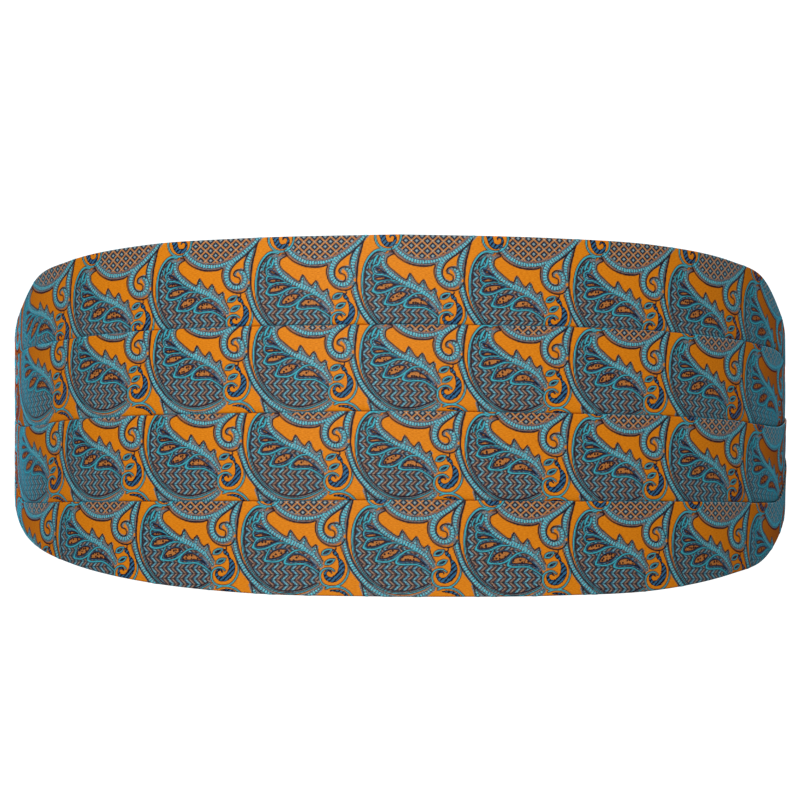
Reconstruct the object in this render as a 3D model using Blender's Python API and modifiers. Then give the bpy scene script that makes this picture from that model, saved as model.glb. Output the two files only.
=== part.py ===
"""Cummerbund: four pleats folded from one cloth round the front of the waist, two elastic
straps round the back, and a flat clasp that joins them. Metres, +Z up, front towards -Y,
origin at the middle of the waist, level with the middle of the band."""

import math

import bpy
import numpy as np

# Waist: the cloth's outer face follows an ellipse, seen from above
WAIST_HALF_WIDTH = 0.1516
WAIST_HALF_DEPTH = 0.106

# Pleated cloth
BAND_HEIGHT = 0.135          # at the middle of the front
PLEATED_LENGTH = 0.450       # along the curve, from end to end
CLOTH_THICKNESS = 0.0010
LAYER_GAP = 0.0003           # air between two layers of a fold
FOLD_DEPTH = 0.010           # how far a pleat reaches up behind the fold above the next one
FOLD_LIMIT = 0.45            # the same, as the most of the pleat that covers it
DIP_HEIGHT = 0.008           # stretch in which a face sinks behind the next pleat
DIP_LIMIT = 0.30
HEM_DEPTH = 0.012            # cloth turned in along the top and bottom edges
HEM_LIMIT = 0.30

# Straps
STRAP_WIDTH = 0.038
STRAP_THICKNESS = 0.0012
STRAP_OVERLAP = 0.020        # sewn to the inner side of the cloth's end
STRAP_RETURN = 0.028         # end that comes back through the clasp
RETURN_EASE = 0.008

# Clasp
CLASP_THICKNESS = 0.0025
CLASP_MIDDLE_BAR = 0.012
CLASP_OUTER_BAR = 0.005
CLASP_END_BAR = 0.004
CLASP_EDGE = 0.0006          # rounding of its edges
SLOT_CLEARANCE = 0.0006
SEAT_GAP = 0.0003            # between pieces that lie on each other

# How finely the curves are stepped
CLOTH_SECTIONS = 37
TURN_STEPS = 3
DIP_STEPS = 4
STRAP_STEPS = 18
CURVE_SAMPLES = 4001
SHARP_ANGLE = 40             # degrees between faces, above which an edge looks sharp

# Edges of the pleats: a row for each place along the cloth, from the middle of the front
# (at = 0) to its end (at = 1). "at" is a share of half the pleated length, the rest are
# shares of half the band's height. The lower edge hangs lower on the +X side.
EDGE_COLUMNS = ("at", "top", "fold_1", "fold_2", "fold_3", "bottom_left", "bottom_right")
EDGES = (
    (0.000, 1.000, 0.504, 0.028, -0.462, -1.000, -1.000),
    (0.267, 0.982, 0.493, 0.013, -0.474, -0.982, -0.998),
    (0.444, 0.953, 0.473, 0.000, -0.480, -0.932, -0.979),
    (0.622, 0.871, 0.430, -0.029, -0.491, -0.833, -0.898),
    (0.711, 0.796, 0.400, -0.056, -0.500, -0.759, -0.837),
    (0.800, 0.604, 0.360, -0.066, -0.480, -0.640, -0.690),
    (0.867, 0.480, 0.280, -0.040, -0.350, -0.510, -0.560),
    (0.933, 0.390, 0.210, -0.010, -0.230, -0.400, -0.430),
    (1.000, 0.330, 0.170, 0.000, -0.165, -0.330, -0.330),
)

CLOTH_COLOUR = (0.80, 0.25, 0.01, 1.0)
STRAP_COLOUR = (0.012, 0.012, 0.014, 1.0)
CLASP_COLOUR = (0.02, 0.02, 0.022, 1.0)

LAYER_PITCH = CLOTH_THICKNESS + LAYER_GAP
FACE_AT = -CLOTH_THICKNESS / 2              # outward place of each layer's middle
RETURN_AT = FACE_AT - LAYER_PITCH
UNDER_AT = RETURN_AT - LAYER_PITCH
CLOTH_INNER = UNDER_AT - CLOTH_THICKNESS / 2
STRAP_AT = CLOTH_INNER - SEAT_GAP - STRAP_THICKNESS / 2


def clear_scene():
    for obj in list(bpy.data.objects):
        bpy.data.objects.remove(obj, do_unlink=True)


def new_collection(name):
    collection = bpy.data.collections.new(name)
    bpy.context.scene.collection.children.link(collection)
    return collection


def make_material(name, colour, roughness, metallic=0.0):
    material = bpy.data.materials.new(name)
    material.use_nodes = True
    shader = material.node_tree.nodes["Principled BSDF"]
    shader.inputs["Base Color"].default_value = colour
    shader.inputs["Roughness"].default_value = roughness
    shader.inputs["Metallic"].default_value = metallic
    return material


def waist_point(angle, outward):
    """Plan point at an angle round the waist (0 at the front, positive towards +X), moved
    out from the ellipse along its normal."""
    across = np.sin(angle) / WAIST_HALF_WIDTH
    ahead = -np.cos(angle) / WAIST_HALF_DEPTH
    size = np.hypot(across, ahead)
    x = WAIST_HALF_WIDTH * np.sin(angle) + outward * across / size
    y = -WAIST_HALF_DEPTH * np.cos(angle) + outward * ahead / size
    return x, y


def angle_at_length(length):
    """Angle at a length along the ellipse from the middle of the front."""
    angles = np.linspace(-math.pi, math.pi, CURVE_SAMPLES)
    x, y = waist_point(angles, 0.0)
    steps = np.hypot(np.diff(x), np.diff(y))
    lengths = np.concatenate(([0.0], np.cumsum(steps)))
    lengths -= np.interp(0.0, angles, lengths)
    return np.interp(length, lengths, angles)


def edge_levels(share):
    """Heights of the top edge, the three folds and the bottom edge at a share of the half
    length, negative on the -X side: cubic curves through the table's rows."""
    rows = np.array(EDGES)
    at = rows[:, 0]
    place = min(abs(share), 1.0)
    row = min(int(np.searchsorted(at, place, side="right")) - 1, len(at) - 2)
    step = at[row + 1] - at[row]
    u = (place - at[row]) / step
    slopes = np.gradient(rows, at, axis=0)
    values = ((1 + 2 * u) * (1 - u) ** 2 * rows[row] + u * (1 - u) ** 2 * step * slopes[row]
              + u * u * (3 - 2 * u) * rows[row + 1] + u * u * (u - 1) * step * slopes[row + 1])
    level = dict(zip(EDGE_COLUMNS, values * BAND_HEIGHT / 2))
    bottom = level["bottom_left"] if share < 0 else level["bottom_right"]
    return [level["top"], level["fold_1"], level["fold_2"], level["fold_3"], bottom]


def turn(outward, height, radius, start, end):
    """Half circle of a fold, from one angle to another, in degrees."""
    angles = np.radians(np.linspace(start, end, TURN_STEPS + 1))
    return [(outward + radius * math.cos(a), height + radius * math.sin(a)) for a in angles]


def fold_profile(levels):
    """Middle line of the folded cloth in one section, as (outward, height) pairs. It starts
    at the hem behind the top edge, goes over the edge and down the first face, sinks behind
    the next pleat, turns back up to that pleat's fold, and so on to the lower hem."""
    radius = LAYER_PITCH / 2
    inset = CLOTH_THICKNESS / 2 + radius        # from a fold's outside to its turn's centre
    front = (FACE_AT + RETURN_AT) / 2
    back = (RETURN_AT + UNDER_AT) / 2
    heights = -np.diff(levels)
    top_hem = min(HEM_DEPTH, HEM_LIMIT * heights[0])
    bottom_hem = min(HEM_DEPTH, HEM_LIMIT * heights[-1])
    points = [(RETURN_AT, levels[0] - top_hem)]
    for pleat in range(len(heights)):
        points += turn(front, levels[pleat] - inset, radius, 180, 0)
        below = levels[pleat + 1]
        if pleat == len(heights) - 1:
            points += turn(front, below + inset, radius, 0, -180)
            points.append((RETURN_AT, below + bottom_hem))
            break
        dip = min(DIP_HEIGHT, DIP_LIMIT * heights[pleat])
        for share in np.linspace(0.0, 1.0, DIP_STEPS + 1):
            sunk = share * share * (3 - 2 * share)
            points.append((FACE_AT + sunk * (UNDER_AT - FACE_AT),
                           below + LAYER_GAP + (dip - LAYER_GAP) * (1 - share)))
        depth = min(FOLD_DEPTH, FOLD_LIMIT * heights[pleat + 1])
        points += turn(back, below - depth + inset, radius, 180, 360)
    return points


def add_sheet(name, rows, thickness, material, collection):
    """A cloth wall: an open surface through rows of points, thickened to both sides."""
    count = len(rows[0])
    vertices = [tuple(point) for row in rows for point in row]
    faces = []
    for i in range(len(rows) - 1):
        for j in range(count - 1):
            corner = i * count + j
            faces.append((corner, corner + 1, corner + count + 1, corner + count))
    mesh = bpy.data.meshes.new(name)
    mesh.from_pydata(vertices, [], faces)
    mesh.shade_smooth()
    mesh.set_sharp_from_angle(angle=math.radians(SHARP_ANGLE))
    mesh.materials.append(material)
    obj = bpy.data.objects.new(name, mesh)
    collection.objects.link(obj)
    wall = obj.modifiers.new("wall", "SOLIDIFY")
    wall.thickness = thickness
    wall.offset = 0.0
    wall.use_even_offset = True
    return obj


def pleated_cloth(material, collection):
    """The fold profile carried round the front half of the waist."""
    rows = []
    for share in np.linspace(-1.0, 1.0, CLOTH_SECTIONS):
        angle = angle_at_length(share * PLEATED_LENGTH / 2)
        row = []
        for outward, height in fold_profile(edge_levels(share)):
            x, y = waist_point(angle, outward)
            row.append((x, y, height))
        rows.append(row)
    return add_sheet("pleated_cloth", rows, CLOTH_THICKNESS, material, collection)


def back_curve(outward):
    """Plan points of the offset ellipse from the side to the middle of the back, as two
    arrays with x falling."""
    angles = np.linspace(math.pi / 2, math.pi, CURVE_SAMPLES)
    return waist_point(angles, outward)


def back_depth(x, outward):
    """How far back the offset ellipse lies at x."""
    xs, ys = back_curve(outward)
    return float(np.interp(x, xs[::-1], ys[::-1]))


def clasp_layout():
    """Sizes of the clasp that follow from the strap: it lies just inside the strap's run,
    and its slots hold the strap's turn round the outer bar."""
    half_wrap = CLASP_THICKNESS / 2 + SEAT_GAP + STRAP_THICKNESS / 2
    slot_width = half_wrap + STRAP_THICKNESS / 2 + SLOT_CLEARANCE
    slot_edge = CLASP_MIDDLE_BAR / 2 + slot_width
    half_width = slot_edge + CLASP_OUTER_BAR
    depth = back_depth(half_width, STRAP_AT) - half_wrap
    return {"slot_width": slot_width, "slot_edge": slot_edge, "half_width": half_width,
            "depth": depth, "return_depth": depth - half_wrap}


def strap_path(layout):
    """Plan line of the +X strap: from inside the cloth's end round the waist, over the
    clasp's outer bar, through its slot and back along the inner side."""
    start = angle_at_length(PLEATED_LENGTH / 2 - STRAP_OVERLAP)
    angles = np.linspace(start, math.pi, CURVE_SAMPLES)
    xs, ys = waist_point(angles, STRAP_AT)
    stop = np.interp(-layout["slot_edge"], -xs[xs.argmax():], angles[xs.argmax():])
    path = []
    for angle in np.linspace(start, stop, STRAP_STEPS + 1):
        x, y = waist_point(angle, STRAP_AT)
        path.append((float(x), float(y)))
    top = path[-1][1]
    middle = (top + layout["return_depth"]) / 2
    radius = (top - layout["return_depth"]) / 2
    for angle in np.radians(np.linspace(90, 270, 2 * TURN_STEPS + 1))[1:]:
        path.append((layout["slot_edge"] + radius * math.cos(angle),
                     middle + radius * math.sin(angle)))
    flat_end = layout["half_width"] + CLASP_EDGE
    inner = STRAP_AT - STRAP_THICKNESS - SEAT_GAP
    path.append((flat_end, layout["return_depth"]))
    for share in np.linspace(0.0, 1.0, DIP_STEPS + 1)[1:]:
        x = flat_end + share * RETURN_EASE
        eased = share * share * (3 - 2 * share)
        path.append((x, (1 - eased) * layout["return_depth"] + eased * back_depth(x, inner)))
    end = layout["slot_edge"] + STRAP_RETURN
    for share in (0.5, 1.0):
        x = flat_end + RETURN_EASE + share * (end - flat_end - RETURN_EASE)
        path.append((x, back_depth(x, inner)))
    return path


def strap(name, side, layout, material, collection):
    """Elastic strap as a ribbon on edge: the plan line, raised to the strap's width."""
    path = strap_path(layout)
    half = STRAP_WIDTH / 2
    rows = [[(side * x, y, -side * half), (side * x, y, side * half)] for x, y in path]
    return add_sheet(name, rows, STRAP_THICKNESS, material, collection)


def add_box(name, size, location, collection):
    bpy.ops.mesh.primitive_cube_add(size=1.0)
    obj = bpy.context.active_object
    obj.name = name
    obj.scale = size
    bpy.ops.object.transform_apply(location=False, rotation=False, scale=True)
    obj.location = location
    for owner in list(obj.users_collection):
        owner.objects.unlink(obj)
    collection.objects.link(obj)
    return obj


def clasp(layout, material, collection, cutters):
    """Flat plate at the middle of the back with an upright slot for each strap."""
    slot_height = STRAP_WIDTH + 2 * SLOT_CLEARANCE
    centre = (0.0, layout["depth"], 0.0)
    size = (2 * layout["half_width"], CLASP_THICKNESS, slot_height + 2 * CLASP_END_BAR)
    plate = add_box("back_clasp", size, centre, collection)
    plate.data.materials.append(material)
    edge = plate.modifiers.new("edges", "BEVEL")
    edge.width = CLASP_EDGE
    edge.segments = 2
    for side, word in ((-1, "left"), (1, "right")):
        middle = side * (layout["slot_edge"] - layout["slot_width"] / 2)
        cutter = add_box("slot_" + word, (layout["slot_width"], 3 * CLASP_THICKNESS, slot_height),
                         (middle, layout["depth"], 0.0), cutters)
        cutter.hide_render = True
        cutter.display_type = "WIRE"
        cut = plate.modifiers.new("slot_" + word, "BOOLEAN")
        cut.operation = "DIFFERENCE"
        cut.object = cutter
    return plate


def main():
    clear_scene()
    parts = new_collection("cummerbund")
    cutters = new_collection("cutters")
    cloth_material = make_material("woven_silk", CLOTH_COLOUR, 0.55)
    strap_material = make_material("elastic_webbing", STRAP_COLOUR, 0.8)
    clasp_material = make_material("moulded_plastic", CLASP_COLOUR, 0.4)
    layout = clasp_layout()
    waist = bpy.data.objects.new("waist", None)
    parts.objects.link(waist)
    pieces = [
        pleated_cloth(cloth_material, parts),
        strap("strap_left", -1, layout, strap_material, parts),
        strap("strap_right", 1, layout, strap_material, parts),
        clasp(layout, clasp_material, parts, cutters),
    ]
    for piece in pieces:
        piece.parent = waist


main()
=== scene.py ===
import math

import bpy
import numpy as np
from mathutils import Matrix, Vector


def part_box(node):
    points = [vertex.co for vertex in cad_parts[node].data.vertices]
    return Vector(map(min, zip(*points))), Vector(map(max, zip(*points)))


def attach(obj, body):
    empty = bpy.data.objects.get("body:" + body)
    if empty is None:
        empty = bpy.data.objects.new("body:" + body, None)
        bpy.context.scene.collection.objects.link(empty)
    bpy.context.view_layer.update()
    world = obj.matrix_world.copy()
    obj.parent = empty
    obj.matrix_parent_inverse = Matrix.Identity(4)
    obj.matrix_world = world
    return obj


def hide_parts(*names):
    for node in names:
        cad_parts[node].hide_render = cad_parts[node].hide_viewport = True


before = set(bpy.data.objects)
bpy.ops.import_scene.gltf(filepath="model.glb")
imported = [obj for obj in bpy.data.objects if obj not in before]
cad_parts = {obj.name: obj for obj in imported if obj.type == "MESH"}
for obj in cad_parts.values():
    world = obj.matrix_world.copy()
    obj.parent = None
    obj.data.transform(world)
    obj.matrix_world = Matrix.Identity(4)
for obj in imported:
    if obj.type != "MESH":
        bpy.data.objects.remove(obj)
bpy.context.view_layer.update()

mm = 0.001
print("frame loaded:", sorted(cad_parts))

# The waist is an ellipse seen from above, read from the cloth node's box. The edge table
# gives the heights of the band's edges and folds, as shares of half its height, from the
# middle of the front (at 0) to the end of the cloth (at 1).
clothLow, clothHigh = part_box("pleated_cloth")
waist = {
    "halfWidth": (clothHigh[0] - clothLow[0]) / 2,
    "halfDepth": -clothLow[1],
    "pleatedLength": 450 * mm,
    "bandHeight": 135 * mm,
    "edges": {
        "at": (0.0, 0.267, 0.444, 0.622, 0.711, 0.800, 0.867, 0.933, 1.0),
        "top": (1.0, 0.982, 0.953, 0.871, 0.796, 0.604, 0.480, 0.390, 0.330),
        "fold1": (0.504, 0.493, 0.473, 0.430, 0.400, 0.360, 0.280, 0.210, 0.170),
        "fold2": (0.028, 0.013, 0.0, -0.029, -0.056, -0.066, -0.040, -0.010, 0.0),
        "fold3": (-0.462, -0.474, -0.480, -0.491, -0.500, -0.480, -0.350, -0.230, -0.165),
        "bottomLeft": (-1.0, -0.982, -0.932, -0.833, -0.759, -0.640, -0.510, -0.400, -0.330),
        "bottomRight": (-1.0, -0.998, -0.979, -0.898, -0.837, -0.690, -0.560, -0.430, -0.330),
    },
}


waistAngles = np.linspace(-math.pi, math.pi, 8001)


# A point of the ellipse (a sin t, -b cos t), moved out along its normal.
def ellipsePoint(angle, outward):
    across = np.sin(angle) / waist["halfWidth"]
    ahead = -np.cos(angle) / waist["halfDepth"]
    size = np.hypot(across, ahead)
    return (waist["halfWidth"] * np.sin(angle) + outward * across / size,
            -waist["halfDepth"] * np.cos(angle) + outward * ahead / size)


# Length from the middle of the front to each angle, summed along the ellipse.
def arcLengths():
    x, y = ellipsePoint(waistAngles, 0.0)
    lengths = np.concatenate(([0.0], np.cumsum(np.hypot(np.diff(x), np.diff(y)))))
    return lengths - np.interp(0.0, waistAngles, lengths)


waistLengths = arcLengths()


# A point by its length along the waist, from which its angle is read back.
def onWaist(along, outward):
    return ellipsePoint(np.interp(along, waistLengths, waistAngles), outward)


# A value between table rows is a cubic with the rows' own slopes at its ends.
def smoothTable(at, values, place):
    at, values = np.array(at), np.array(values)
    slopes = np.gradient(values, at)
    row = np.clip(np.searchsorted(at, place, side="right") - 1, 0, len(at) - 2)
    step = at[row + 1] - at[row]
    u = (place - at[row]) / step
    return ((1 + 2 * u) * (1 - u) ** 2 * values[row] + u * (1 - u) ** 2 * step * slopes[row]
            + u * u * (3 - 2 * u) * values[row + 1] + u * u * (u - 1) * step * slopes[row + 1])


# Heights of the top, the three folds and the bottom, from the table of shares.
def edgeHeights(along):
    edges = waist["edges"]
    place = np.minimum(np.abs(along) / (waist["pleatedLength"] / 2), 1.0)
    half = waist["bandHeight"] / 2
    levels = [smoothTable(edges["at"], edges[name], place) * half
              for name in ("top", "fold1", "fold2", "fold3")]
    left = smoothTable(edges["at"], edges["bottomLeft"], place) * half
    right = smoothTable(edges["at"], edges["bottomRight"], place) * half
    levels.append(np.where(along < 0, left, right))
    return levels


# The woven repeat, as a chart. A square of the chart is a 1437th of the repeat's
# width; across runs to the right and down runs down the cloth, and the tip of the leaf's
# first spike lies at (232, 468). A stroke is a smooth line of (across, down, half width),
# a shape is a closed smooth line of (across, down). Half widths, the rosette and the
# petals' rim are in squares too.
chart = {
    "repeat": 41.0 * mm,
    "squares": 1437,
    "spike": (232, 468),
    "top": -140, "bottom": 1420,
    "cell": 0.1 * mm,
    "reach": 1.6 * mm,
    "lineBlend": 0.40 * mm,
    "rosette": (1378, -8), "rosetteRadius": 172, "rosetteRim": 8,
    "petalRimDepth": 11, "petalRimHalf": 8,
    "borderWidth": 0.75 * mm, "casingWidth": 0.27 * mm,
    "widened": {"teal": -0.02 * mm, "dark": 0.04 * mm, "rust": 0.04 * mm},
}
ribbedBands = (
    ((30, 120, 14), (55, 160, 18), (99, 206, 20), (169, 256, 22), (249, 296, 22), (329, 316, 22),
     (419, 322, 20), (509, 316, 18), (589, 296, 16), (659, 268, 14)),
    ((1110, -60, 14), (1036, 10, 18), (960, 85, 20), (900, 130, 20), (840, 180, 22), (770, 225, 24),
     (700, 272, 26), (650, 330, 28), (622, 400, 28), (618, 470, 28), (640, 535, 28), (690, 585, 28),
     (760, 610, 26), (825, 600, 24), (868, 555, 22), (880, 495, 22), (862, 435, 20), (825, 400, 14)),
    ((1002, 92, 8), (966, 165, 20), (938, 232, 28), (916, 300, 28), (908, 365, 22), (918, 430, 14),
     (936, 500, 7)),
    ((925, 610, 14), (935, 670, 18), (950, 740, 18), (975, 810, 20), (1000, 880, 22), (1035, 950, 24),
     (1080, 1020, 26), (1130, 1080, 26), (1180, 1140, 26), (1240, 1200, 24), (1310, 1255, 22),
     (1400, 1310, 20), (1500, 1350, 18), (1620, 1372, 18), (1750, 1370, 18), (1880, 1335, 18),
     (1980, 1285, 16), (2060, 1225, 12)),
    ((1316, 246, 12), (1304, 306, 18), (1326, 376, 20), (1366, 436, 20), (1426, 496, 20),
     (1496, 546, 20), (1566, 586, 22), (1626, 612, 24), (1690, 632, 30), (1740, 655, 30),
     (1796, 686, 26), (1866, 726, 24), (1936, 776, 22), (1986, 826, 18), (2030, 880, 14), (2066, 936, 8)),
    ((1655, 605, 20), (1668, 550, 12), (1669, 505, 4)),
    ((1822, 680, 22), (1843, 625, 13), (1853, 585, 4)),
    ((1962, 790, 16), (1986, 735, 9), (2004, 695, 3)),
    ((1150, 1190, 6), (1185, 1260, 14), (1215, 1340, 18)),
)
tealLines = (
    ((1345, 186, 7), (1262, 165, 9), (1200, 185, 10), (1142, 235, 9), (1096, 300, 9), (1064, 370, 8),
     (1044, 450, 9), (1033, 530, 9), (1029, 610, 8), (1034, 690, 7), (1047, 775, 6), (1070, 848, 5),
     (1100, 918, 5), (1140, 990, 5), (1190, 1062, 5), (1250, 1130, 5), (1322, 1192, 5), (1415, 1250, 5),
     (1530, 1290, 5), (1680, 1306, 5), (1822, 1282, 5), (1944, 1233, 5), (2036, 1178, 5)),
    ((1246, 351, 7), (1186, 381, 7), (1171, 421, 7), (1191, 466, 7), (1236, 486, 7), (1306, 491, 7),
     (1386, 521, 7), (1426, 551, 6)),
    ((1191, 480, 7), (1174, 521, 7), (1196, 563, 8), (1246, 592, 8)),
    ((1174, 700, 12), (1192, 652, 7), (1226, 604, 7), (1296, 572, 7), (1386, 562, 7), (1466, 578, 6),
     (1520, 600, 5)),
    ((1174, 700, 12), (1230, 727, 9), (1316, 722, 8), (1396, 695, 8), (1466, 660, 8), (1546, 641, 7),
     (1626, 646, 6), (1696, 671, 5)),
    ((1402, 716, 6), (1372, 765, 7), (1350, 820, 8), (1334, 868, 12), (1392, 884, 8), (1476, 886, 8),
     (1560, 858, 8), (1642, 800, 8), (1716, 748, 8), (1786, 730, 7), (1856, 741, 6), (1896, 766, 5)),
    ((1642, 792, 6), (1614, 846, 7), (1594, 900, 12), (1662, 922, 8), (1756, 916, 8), (1850, 918, 8),
     (1922, 948, 8), (1986, 987, 7), (2036, 1028, 6)),
    ((800, 1005, 6), (750, 972, 7), (690, 975, 7), (640, 1003, 8), (617, 1050, 8), (615, 1100, 8),
     (632, 1150, 8), (672, 1190, 8), (740, 1210, 7), (820, 1207, 7), (890, 1175, 7), (940, 1120, 7),
     (970, 1060, 7), (985, 990, 6), (978, 920, 5), (960, 850, 4)),
    ((642, 792, 7), (655, 755, 7), (705, 728, 7), (765, 725, 6)),
    ((642, 792, 6), (695, 793, 6), (740, 768, 6), (765, 725, 5)),
    ((684, 918, 7), (700, 882, 7), (750, 856, 7), (805, 855, 6)),
    ((684, 918, 6), (735, 917, 6), (780, 892, 6), (805, 855, 5)),
    ((690, 1238, 7), (760, 1213, 8), (850, 1213, 8), (930, 1240, 8), (990, 1285, 8), (1040, 1345, 7)),
    ((1240, 236, 9), (1206, 290, 12), (1184, 350, 8)),
    ((1276, 262, 9), (1262, 320, 11), (1236, 372, 7)),
    ((1168, 300, 6), (1140, 350, 7), (1130, 400, 6)),
)
darkLines = (
    ((-20, 150, 7), (9, 190, 8), (40, 235, 8), (90, 280, 9), (159, 322, 9), (249, 356, 10),
     (329, 372, 10), (419, 376, 10), (500, 370, 9), (566, 352, 8), (556, 420, 8), (562, 490, 8),
     (588, 560, 8), (632, 620, 8), (692, 660, 9), (770, 684, 9), (850, 678, 8), (905, 645, 8),
     (938, 590, 7)),
    ((865, 398, 6), (800, 378, 8), (750, 392, 9), (722, 425, 9), (732, 460, 8), (765, 472, 8),
     (795, 485, 8), (812, 520, 8), (800, 560, 8), (765, 578, 8), (715, 562, 8), (680, 520, 8),
     (665, 470, 8), (672, 410, 8), (700, 350, 8), (745, 300, 8), (800, 255, 8), (870, 205, 8),
     (940, 150, 8), (1010, 85, 8), (1050, 50, 8)),
    ((1075, 0, 7), (1045, 66, 9), (1015, 175, 11), (990, 260, 12), (975, 340, 12), (966, 420, 12),
     (960, 500, 11), (958, 570, 10), (968, 640, 9), (985, 720, 8), (1012, 800, 8), (1040, 880, 8),
     (1080, 950, 8), (1125, 1020, 8), (1175, 1080, 8), (1230, 1135, 7), (1300, 1190, 7)),
    ((1040, 66, 5), (970, 120, 7), (915, 190, 7), (880, 260, 7), (866, 320, 7), (868, 385, 6)),
    ((885, 690, 7), (905, 750, 7), (930, 810, 7), (960, 880, 8), (995, 950, 8), (1045, 1030, 8),
     (1095, 1100, 8), (1140, 1160, 8), (1162, 1230, 7), (1180, 1330, 7)),
    ((1140, 1160, 7), (1200, 1225, 8), (1270, 1285, 8), (1360, 1345, 8), (1500, 1390, 8)),
    ((1286, 190, 6), (1216, 206, 7), (1156, 256, 8), (1106, 326, 8), (1081, 406, 8), (1071, 486, 8),
     (1062, 566, 8), (1060, 646, 8), (1070, 730, 8), (1092, 812, 8), (1126, 895, 8), (1174, 978, 8),
     (1232, 1060, 8), (1294, 1124, 8), (1378, 1190, 8), (1492, 1248, 8), (1640, 1272, 8),
     (1784, 1255, 8), (1906, 1213, 8), (2008, 1162, 8)),
    ((1390, 193, 7), (1432, 196, 8), (1452, 221, 8), (1406, 243, 7), (1371, 268, 7), (1359, 306, 7),
     (1366, 351, 7), (1396, 396, 7), (1456, 446, 7), (1516, 496, 7), (1586, 546, 7), (1629, 562, 7)),
    ((1629, 562, 7), (1650, 510, 7), (1669, 470, 6)),
    ((1669, 470, 6), (1706, 518, 7), (1746, 578, 7), (1794, 622, 7)),
    ((1794, 622, 7), (1816, 588, 7), (1850, 550, 6)),
    ((1850, 550, 6), (1880, 600, 7), (1906, 656, 7), (1948, 702, 7)),
    ((1948, 702, 7), (1975, 680, 7), (2002, 660, 6)),
    ((2002, 660, 6), (2018, 716, 7), (2036, 776, 7), (2066, 836, 7), (2098, 888, 6)),
    ((812, 688, 6), (822, 720, 8), (800, 745, 9)),
)
fillerStrokes = (
    ((870, 398, 10), (806, 388, 16), (756, 402, 18), (738, 440, 16), (760, 462, 10)),
    ((1020, 100, 10), (1000, 180, 16), (980, 260, 18), (966, 340, 18), (958, 420, 16), (950, 500, 12)),
)
rustLines = (
    ((70, 150, 6), (95, 180, 7), (169, 232, 8), (249, 268, 8), (329, 286, 8), (419, 291, 8),
     (509, 283, 8), (580, 266, 8), (650, 236, 8), (720, 203, 8), (790, 158, 8), (860, 103, 8),
     (930, 48, 8), (1000, -14, 8)),
    ((15, 150, 6), (60, 215, 7), (110, 258, 8), (175, 296, 8), (255, 328, 8), (335, 345, 8), (419, 350, 8),
     (500, 345, 7), (565, 330, 6)),
    ((585, 350, 6), (578, 430, 6), (588, 500, 7), (612, 560, 7), (655, 612, 7), (705, 642, 7),
     (775, 662, 7), (845, 652, 7), (890, 620, 6)),
    ((1286, 300, 6), (1290, 360, 7), (1320, 420, 8), (1380, 480, 8), (1460, 545, 8), (1550, 602, 8),
     (1640, 655, 8), (1740, 705, 8), (1840, 755, 8), (1920, 812, 8), (1985, 890, 8), (2040, 960, 6)),
    ((1345, 212, 8), (1390, 214, 12), (1428, 216, 12)),
    ((1000, 120, 6), (975, 200, 8), (950, 280, 8), (940, 350, 8), (942, 420, 6)),
)
navyStrokes = (
    ((850, 838, 10), (880, 885, 28), (896, 940, 40), (890, 1005, 44), (856, 1068, 44), (800, 1112, 40),
     (738, 1116, 32), (694, 1084, 24), (682, 1040, 19), (704, 1004, 15), (742, 1002, 13), (766, 1030, 10)),
    ((1262, -120, 34), (1290, -60, 40), (1309, 5, 40), (1330, 65, 36), (1379, 100, 34), (1448, 82, 24),
     (1476, 27, 18), (1460, -16, 14), (1420, -24, 12), (1402, 5, 9)),
    ((662, 778, 8), (700, 762, 14), (740, 738, 6)),
    ((705, 902, 8), (745, 886, 14), (785, 866, 6)),
    ((790, 736, 14), (808, 772, 28), (836, 800, 20), (850, 838, 12)),
    ((745, 1262, 8), (820, 1262, 16), (900, 1280, 20), (960, 1325, 18), (1000, 1390, 14)),
)
petalShapes = (
    ((1206, 396), (1262, 402), (1320, 440), (1384, 492), (1300, 470), (1236, 448)),
    ((1188, 538), (1236, 516), (1306, 510), (1376, 524), (1432, 560), (1346, 562), (1266, 572), (1206, 566)),
    ((1206, 680), (1236, 630), (1310, 600), (1400, 592), (1480, 606), (1530, 622), (1480, 636), (1420, 662),
     (1346, 692), (1270, 702), (1214, 700)),
    ((1374, 838), (1392, 790), (1440, 744), (1520, 712), (1590, 712), (1640, 728), (1636, 748), (1594, 790),
     (1532, 832), (1456, 856), (1388, 860)),
    ((1630, 872), (1648, 826), (1700, 790), (1786, 782), (1850, 808), (1908, 850), (1962, 898), (2026, 976),
     (1984, 946), (1912, 906), (1830, 888), (1738, 890), (1652, 892)),
)
bodyShapes = (
    ((1240, 232), (1156, 270), (1106, 340), (1081, 416), (1071, 486), (1062, 566), (1060, 646), (1070, 730),
     (1092, 812), (1126, 895), (1174, 978), (1232, 1060), (1294, 1124), (1378, 1190), (1492, 1248),
     (1640, 1272), (1784, 1255), (1906, 1213), (2018, 1155), (2045, 1060), (2055, 1000), (2040, 950),
     (1985, 880), (1900, 795), (1780, 728), (1660, 668), (1560, 612), (1460, 555), (1380, 490), (1310, 420),
     (1286, 340), (1300, 262)),
)
domeShapes = (
    ((95, 158), (169, 222), (249, 260), (329, 278), (419, 283), (509, 275), (580, 258), (650, 228),
     (720, 195), (790, 150), (860, 95), (930, 40), (1000, -22), (1080, -110), (1100, -240), (600, -300),
     (60, -260), (40, -120), (50, -8), (62, 90)),
)


# The points of strokes, one after another, without their half widths.
def strokePoints(*strokes):
    return tuple(point[:2] for stroke in strokes for point in stroke)


# Zones round the figures: between the leaf's spine and its spiked outline, with sharp
# corners, between the body's outline and its filling, and below the leaf.
spikedZone = strokePoints(*darkLines[7:14], ribbedBands[4][::-1])
rimZone = strokePoints(tealLines[0]) + ((2050, 1060), (1900, 900), (1600, 700), (1400, 500), (1330, 400),
                                        (1330, 280))
lowZone = ((1140, 1160), (1165, 1230), (1185, 1340), (1190, 1480), (1480, 1480), (1380, 1300), (1230, 1200))
ringDiscs = ((800, 1085, 165), (1378, -8, 165))


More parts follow.
